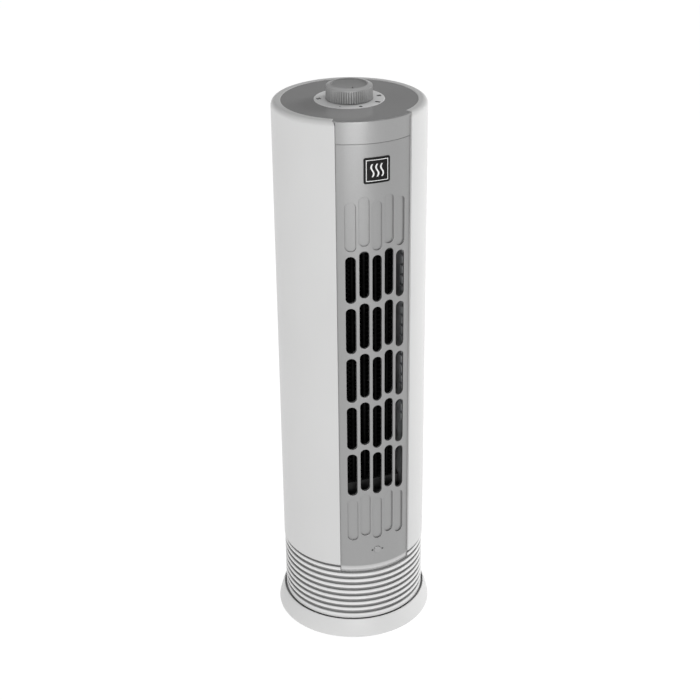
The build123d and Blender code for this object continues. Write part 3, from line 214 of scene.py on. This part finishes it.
def lacquered(name, value, metallic=0.55, rough=0.32, radius=0.5 * MM, bevel=None, ring=None, crease_shading=None):
    """Silver lacquer: fine metal flakes under a thin satin coat.

    bevel is the heights of a brighter lower edge, a painted highlight, and its gains at both; ring is the
    radii of a lighter ring, a painted highlight, and its gain. The crease shading is painted shade in
    creases.
    """
    m = Nodes(name)
    flakes = m.add("ShaderNodeTexVoronoi")
    flakes.inputs["Scale"].default_value = 5200.0
    m.link(m.coords, flakes.inputs["Vector"])
    spark = m.add("ShaderNodeSeparateColor")
    m.link(flakes.outputs["Color"], spark.inputs["Color"])
    glint = m.spread(spark.outputs["Red"], 0.0, 1.0, 0.0, 1.0)
    colour = m.mix(glint, tone(value * 0.94), tone(value * 1.05))
    slow = m.spread(m.noise(14.0, 3.0), 0.0, 0.10)
    colour = m.mix(slow, colour, tone(value * 0.85))
    # painted highlight: the panel's bevelled lower edge is brightened, most at its bottom, where it catches
    # the light
    if bevel:
        low, high, gain_low, gain_high = bevel
        parts = m.add("ShaderNodeSeparateXYZ")
        m.link(m.coords, parts.inputs["Vector"])
        climb = m.spread(parts.outputs["Z"], 0.0, 1.0, low, high)
        edge = m.mix(climb, tone(value * gain_low), tone(value * gain_high))
        above = m.spread(parts.outputs["Z"], 0.0, 1.0, high - 0.2 * MM, high + 0.3 * MM)
        colour = m.mix(above, edge, colour)
    # painted highlight ring on the knob's bevel
    if ring:
        inner, outer, gain = ring
        colour = by_radius(m, colour, tone(value * gain), inner)
        colour = by_radius(m, colour, tone(value), outer)
    # painted shade in creases, by ambient occlusion
    if crease_shading:
        colour = paint_crease_shade(m, colour, value, WHITE, crease_shading)
    m.colour(colour)
    m.roughness(m.spread(m.noise(320.0, 4.0), rough * 0.9, rough * 1.12))
    m.bump(m.noise(3600.0, 2.0), 0.015, 0.04 * MM, radius)
    m.set(Metallic=metallic, Coat_Weight=0.12, Coat_Roughness=0.3)
    return m.material


def sheet_metal(name, value, tint=WHITE, rough=0.34, brushed=(1, 1, 30), dark=0.6):
    """Bare or plated metal with a drawn grain and duller patches."""
    m = Nodes(name)
    grain = m.noise(900.0, 3.0, brushed)
    patch = m.noise(55.0, 4.0)
    colour = m.mix(m.spread(grain, 0.0, 1.0), tone(value * 0.9, tint), tone(value * 1.05, tint))
    colour = m.mix(m.spread(patch, 0.0, 0.5), colour, tone(value * dark, tint))
    m.colour(colour)
    m.roughness(m.spread(patch, rough, rough * 1.5))
    m.bump(grain, 0.12, 0.04 * MM, 0.2 * MM)
    m.set(Metallic=1.0)
    return m.material


def soft_rubber(name, value):
    """Black rubber with a bloom of dust."""
    m = Nodes(name)
    bloom = m.noise(140.0, 5.0)
    m.colour(m.mix(m.spread(bloom, 0.0, 0.6), tone(value), tone(value * 2.2)))
    m.roughness(m.spread(bloom, 0.7, 0.9))
    m.bump(m.noise(2600.0, 3.0), 0.2, 0.1 * MM, 0.3 * MM)
    return m.material


def glossy(name, value, rough=0.16, specular=0.5, ior=1.5, radius=0.4 * MM):
    """Polished plastic with faint hairline scuffs and dust."""
    m = Nodes(name)
    scuff = m.noise(210.0, 6.0, (1, 6, 1))
    dust = m.noise(1900.0, 2.0)
    m.colour(m.mix(m.spread(dust, 0.0, 0.10, 0.55, 0.8), tone(value), tone(value * 2.0)))
    m.roughness(m.spread(scuff, rough * 0.8, rough * 1.5))
    m.bump(m.noise(2600.0, 2.0), 0.01, 0.03 * MM, radius)
    m.set(Specular_IOR_Level=specular, IOR=ior)
    return m.material


def winding(name):
    """Amber tape wound round the coil."""
    m = Nodes(name)
    turns = m.add("ShaderNodeTexWave", bands_direction="X")
    turns.inputs["Scale"].default_value = 260.0
    turns.inputs["Distortion"].default_value = 0.6
    m.link(m.coords, turns.inputs["Vector"])
    m.colour(m.mix(turns.outputs["Fac"], (0.30, 0.12, 0.03), (0.62, 0.30, 0.08)))
    m.roughness(m.spread(turns.outputs["Fac"], 0.25, 0.4, 0.0, 1.0))
    m.bump(turns.outputs["Fac"], 0.4, 0.3 * MM)
    return m.material


def ink(name, value):
    """Printed or moulded-in mark."""
    m = Nodes(name)
    m.colour(m.mix(m.spread(m.noise(900.0, 3.0), 0.0, 1.0), tone(value * 0.85), tone(value * 1.15)))
    m.roughness(m.spread(m.noise(600.0, 3.0), 0.45, 0.6))
    return m.material


RIB_FLOOR_R = 64.8 * MM  # bottom of the grooves between the housing's ribs; nearer the axis the housing gets painted shade
PANEL_BEVEL_HIGHLIGHT = (68.0 * MM, 75.5 * MM)  # heights of the panel's bevelled lower edge, which gets a painted highlight
KNOB_HIGHLIGHT_RING = (15.6 * MM, 19.3 * MM)  # radii of the knob's bevel, which gets a painted highlight ring

SLOTS = {
    # casing, housing and base are one white plastic: their different tones are painted light and shade, for
    # how light falls on each part
    "casing_white": moulded("white_casing_plastic", 0.58, WARM_WHITE, rough=0.36, crease_shading=None),
    "housing_white": moulded(
        "white_housing_plastic",
        0.72,
        WARM_WHITE,
        rough=0.4,
        radius=0.3 * MM,
        crease_shading=None,
        # painted shade in the grooves between the ribs
        groove_shade=(RIB_FLOOR_R, 0.27),
    ),
    # strong painted shade by ambient occlusion darkens the gap between the base and the housing
    "base_white": moulded("white_base_plastic", 0.635, WARM_WHITE, rough=0.4, crease_shading=(8.0 * MM, 0.95, 0.5)),
    "plate_grey": moulded("grey_base_plastic", 0.30, rough=0.55, grain=0.06),
    # painted highlight on the panel's bevelled lower edge
    "grille_silver": lacquered("silver_grille_lacquer", 0.305, bevel=(*PANEL_BEVEL_HIGHLIGHT, 2.4, 1.4)),
    "cover_silver": lacquered("silver_cover_lacquer", 0.325),
    "disc_dark": glossy("dark_polished_plastic", 0.31, rough=0.1, ior=2.1),
    "dial_grey": moulded("dial_ring_plastic", 0.70, rough=0.35),
    # painted highlight ring on the knob's bevel and painted shade in its knurls, by ambient occlusion
    "knob_grey": lacquered(
        "knob_satin_grey",
        0.31,
        metallic=0.15,
        rough=0.4,
        radius=0.1 * MM,
        ring=(*KNOB_HIGHLIGHT_RING, 1.35),
        crease_shading=(1.6 * MM, 1.0, 0.95),
    ),
    "badge_black": glossy("black_badge_plastic", 0.006, rough=0.35, specular=0.15),
    "button_silver": lacquered("button_silver_lacquer", 0.33, radius=0.3 * MM),
    "rubber_black": soft_rubber("black_rubber", 0.03),
    "plastic_black": moulded("black_plastic", 0.022, rough=0.5, grain=0.08),
    "nylon_natural": moulded("natural_nylon", 0.62, (1.0, 0.97, 0.87), rough=0.45, grain=0.03),
    "steel_bright": sheet_metal("bright_plated_steel", 0.58, rough=0.26),
    "steel_sheet": sheet_metal(
        "zinc_plated_sheet", 0.72, (0.98, 1.0, 1.02), rough=0.5, brushed=(1, 20, 1), dark=0.75
    ),
    "iron_dark": sheet_metal("coated_iron", 0.10, rough=0.55, dark=0.8),
    "aluminium_mill": sheet_metal("mill_aluminium", 0.60, rough=0.36),
    # near-black tone is painted shade for the heater fins seen through the slots
    "aluminium_dark": sheet_metal("heater_fin_painted_shade", 0.009, rough=0.55, brushed=(1, 1, 8)),
    "bronze": sheet_metal("sintered_bronze", 0.5, (1.0, 0.72, 0.38), rough=0.45),
    "copper_tape": winding("amber_winding_tape"),
    "wire_black": soft_rubber("black_wire_sleeve", 0.04),
}


def dress_nodes():
    """Gives every CAD node the material of its slot."""
    for part in frame["record"]["subparts"]:
        node = NODES[part["node"]]
        material = SLOTS[part["material_slot"]]
        node.data.materials.clear()
        node.data.materials.append(material)


# ---------------------------------------------------------------- pieces
def piece(name, bm, material, body):
    """Links a finished mesh as a piece that rides on a body."""
    mesh = bpy.data.meshes.new(name)
    bmesh.ops.recalc_face_normals(bm, faces=bm.faces)
    bm.to_mesh(mesh)
    bm.free()
    obj = bpy.data.objects.new(name, mesh)
    bpy.context.scene.collection.objects.link(obj)
    mesh.materials.append(material)
    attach(obj, body)


def prism(bm, outline, lift, place):
    """Adds a thin prism over an outline of (u, v) points. place(u, v, w) puts a point in the frame."""
    low = [bm.verts.new(place(u, v, 0.0)) for u, v in outline]
    high = [bm.verts.new(place(u, v, lift)) for u, v in outline]
    bm.faces.new(high)
    bm.faces.new(list(reversed(low)))
    for k in range(len(outline)):
        n = (k + 1) % len(outline)
        bm.faces.new((low[k], low[n], high[n], high[k]))


def ribbon(bm, left, right, lift, place, closed=False):
    """Adds a thin strip between two rows of (u, v) points, joined into a ring or capped at both ends."""
    rows = []
    for (left_u, left_v), (right_u, right_v) in zip(left, right):
        section = (
            place(left_u, left_v, 0.0),
            place(right_u, right_v, 0.0),
            place(right_u, right_v, lift),
            place(left_u, left_v, lift),
        )
        rows.append([bm.verts.new(corner) for corner in section])
    following = rows[1:] + rows[:1] if closed else rows[1:]
    for near, far in zip(rows, following):
        for k in range(4):
            n = (k + 1) % 4
            bm.faces.new((near[k], near[n], far[n], far[k]))
    if not closed:
        bm.faces.new(rows[0])
        bm.faces.new(list(reversed(rows[-1])))


def on_dial(z):
    """Places (angle from the front in degrees, radius) on the dial at a height."""

    def place(angle, radius, lift):
        a = math.radians(angle - 90.0)
        return (radius * math.cos(a), radius * math.sin(a), z + lift)

    return place


def on_front(radius):
    """Places (x, z) on the curved front at a radius."""

    def place(x, z, lift):
        r = radius + lift
        return (x * r / radius, -math.sqrt(r * r - (x * r / radius) ** 2), z)

    return place


PRINT = 0.05 * MM  # height of printed marks
MARK_DARK = ink("mark_ink_dark", 0.012)
MARK_LIGHT = ink("mark_ink_light", 0.80)

# angles on the dial are in degrees from the front, towards +X; radii are from the axis
DIAL_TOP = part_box("dial_ring")[1][2]
DIAL_MID_R = 25.7 * MM
OFF_ANGLE, OFF_SIZE = 1.3, 1.5 * MM
HEAT_MARKS = (
    (41.2, 46.8, 24.0 * MM, 28.4 * MM),  # first heat setting
    (80.8, 84.2, 24.0 * MM, 27.6 * MM),  # second heat setting, two dashes
    (85.4, 88.8, 24.0 * MM, 27.6 * MM),
    (-38.9, -37.5, 23.8 * MM, 25.6 * MM),  # small index line
)
FAN_ANGLE, FAN_HUB, FAN_BLADE, FAN_REACH, FAN_TWIST = -108.0, 0.45 * MM, 0.9 * MM, 1.5 * MM, 0.4


def dial_marks():
    """Off dot, dashes and fan mark round the knob."""
    bm = bmesh.new()
    place = on_dial(DIAL_TOP)

    def patch(start, end, inner_r, outer_r, steps=6):
        inner = [(start + (end - start) * k / steps, inner_r) for k in range(steps + 1)]
        outer = [(end - (end - start) * k / steps, outer_r) for k in range(steps + 1)]
        prism(bm, inner + outer, PRINT, place)

    def disc(angle, radius, size, count=20):
        points = []
        for k in range(count):
            t = 2 * math.pi * k / count
            points.append((angle + math.degrees(size * math.cos(t) / radius), radius + size * math.sin(t)))
        prism(bm, points, PRINT, place)

    disc(OFF_ANGLE, DIAL_MID_R, OFF_SIZE)
    for mark in HEAT_MARKS:
        patch(*mark)
    # fan mark: four rounded blades about a hub
    disc(FAN_ANGLE, DIAL_MID_R, FAN_HUB)
    for k in range(4):
        t = math.pi / 2 * k + FAN_TWIST
        along, out = FAN_REACH * math.cos(t), FAN_REACH * math.sin(t)
        disc(FAN_ANGLE + math.degrees(along / DIAL_MID_R), DIAL_MID_R + out, FAN_BLADE)
    piece("dial_marks", bm, MARK_DARK, "tower")


PANEL_R = 64.5 * MM
ARROW_TIP, ARROW_BACK, ARROW_HALF = 6.1 * MM, 4.3 * MM, 1.25 * MM


def button_marks():
    """Arrowheads on both sides of the swing button."""
    bm = bmesh.new()
    z = (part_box("osc_button")[0][2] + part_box("osc_button")[1][2]) / 2
    place = on_front(PANEL_R)
    for side in (-1, 1):
        tip, back = side * ARROW_TIP, side * ARROW_BACK
        prism(bm, [(tip, z), (back, z + ARROW_HALF), (back, z - ARROW_HALF)], PRINT, place)
    piece("button_arrows", bm, MARK_DARK, "tower")


BADGE_R = 64.95 * MM
OUTLINE_W, OUTLINE_H, OUTLINE_LINE = 9.6 * MM, 9.2 * MM, 0.55 * MM  # half width, half height, line width
WAVE_PITCH, WAVE_HEIGHT, WAVE_SWAY, WAVE_HALF = 4.2 * MM, 11.0 * MM, 1.1 * MM, 0.65 * MM


def badge_face():
    """Plain outline and three heat waves on the blank badge: a generic warm-air sign."""
    bm = bmesh.new()
    low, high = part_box("badge_plate")
    place = on_front(BADGE_R)
    middle = (low[2] + high[2]) / 2
    along = [k / 5 - 1 for k in range(11)]
    turns = [(x, -1) for x in along] + [(-x, 1) for x in along]

    def loop(inset):
        width, height = OUTLINE_W - inset, OUTLINE_H - inset
        return [(x * width, middle + end * height) for x, end in turns]

    ribbon(bm, loop(0.0), loop(OUTLINE_LINE), PRINT, place, closed=True)
    for column in (-WAVE_PITCH, 0.0, WAVE_PITCH):
        wave = []
        for k in range(25):
            t = k / 24
            wave.append((column + WAVE_SWAY * math.sin(2 * math.pi * t), middle + (t - 0.5) * WAVE_HEIGHT))
        left = [(x - WAVE_HALF, z) for x, z in wave]
        right = [(x + WAVE_HALF, z) for x, z in wave]
        ribbon(bm, left, right, PRINT, place)
    piece("badge_sign", bm, MARK_LIGHT, "tower")


# ---------------------------------------------------------------- stage
FLOOR_GLOW = 0.92
FLOOR_HALF = 8.0
# brightness of the sky by the sine of its height: pale walls, a darker band above them, a bright ceiling
SKY = ((0.0, 1.0), (0.13, 0.86), (0.23, 0.10), (0.52, 0.10), (0.85, 0.84), (1.0, 0.84))


def make_floor():
    """A wide, softly lit white floor, like the light table of a product studio."""
    bm = bmesh.new()
    bmesh.ops.create_grid(bm, x_segments=1, y_segments=1, size=FLOOR_HALF)
    mesh = bpy.data.meshes.new("floor")
    bm.to_mesh(mesh)
    bm.free()
    floor = bpy.data.objects.new("floor", mesh)
    bpy.context.scene.collection.objects.link(floor)
    m = Nodes("pale_floor")
    m.colour(m.mix(m.noise(3.0, 2.0), tone(0.16), tone(0.18)))
    m.set(Roughness=0.9, Specular_IOR_Level=0.0, Emission_Color=(1, 1, 1, 1), Emission_Strength=FLOOR_GLOW)
    mesh.materials.append(m.material)


def area_light(name, azimuth, distance, height, size, power, aim_height, mirrored):
    """A rectangular soft box. azimuth is in degrees from the front, towards +X, and power in watts."""
    a = math.radians(azimuth)
    place = Vector((distance * math.sin(a), -distance * math.cos(a), height))
    data = bpy.data.lights.new(name, "AREA")
    data.shape = "RECTANGLE"
    data.size, data.size_y = size
    data.energy = power
    light = bpy.data.objects.new(name, data)
    aim = Vector((0.0, 0.0, aim_height)) - place
    light.matrix_world = Matrix.Translation(place) @ aim.to_track_quat("-Z", "Y").to_matrix().to_4x4()
    light.visible_glossy = mirrored
    bpy.context.scene.collection.objects.link(light)


def make_world():
    """A pale room round the light table."""
    world = bpy.data.worlds.new("pale_room")
    world.use_nodes = True
    tree = world.node_tree
    background = tree.nodes["Background"]
    coords = tree.nodes.new("ShaderNodeTexCoord")
    parts = tree.nodes.new("ShaderNodeSeparateXYZ")
    ramp = tree.nodes.new("ShaderNodeValToRGB")
    stops = ramp.color_ramp.elements
    while len(stops) < len(SKY):
        stops.new(0.5)
    for stop, (height, level) in zip(stops, SKY):
        stop.position = height
        stop.color = (level, level, level, 1.0)
    tree.links.new(coords.outputs["Generated"], parts.inputs["Vector"])
    tree.links.new(parts.outputs["Z"], ramp.inputs["Fac"])
    tree.links.new(ramp.outputs["Color"], background.inputs["Color"])
    bpy.context.scene.world = world
    bpy.context.scene.view_settings.view_transform = "Standard"


def make_light():
    """A soft box in front for the panel's highlight and one at each side for the casing's bright edges."""
    make_world()
    area_light("front_box", -12.5, 2.2, 0.42, (1.3, 0.7), 18.0, aim_height=0.30, mirrored=True)
    area_light("right_box", 105.0, 1.2, 0.78, (0.5, 0.6), 12.0, aim_height=0.48, mirrored=False)
    area_light("left_box", -105.0, 1.2, 0.78, (0.5, 0.6), 2.5, aim_height=0.48, mirrored=False)


make_camera()
dress_nodes()
dial_marks()
button_marks()
badge_face()
make_floor()
make_light()
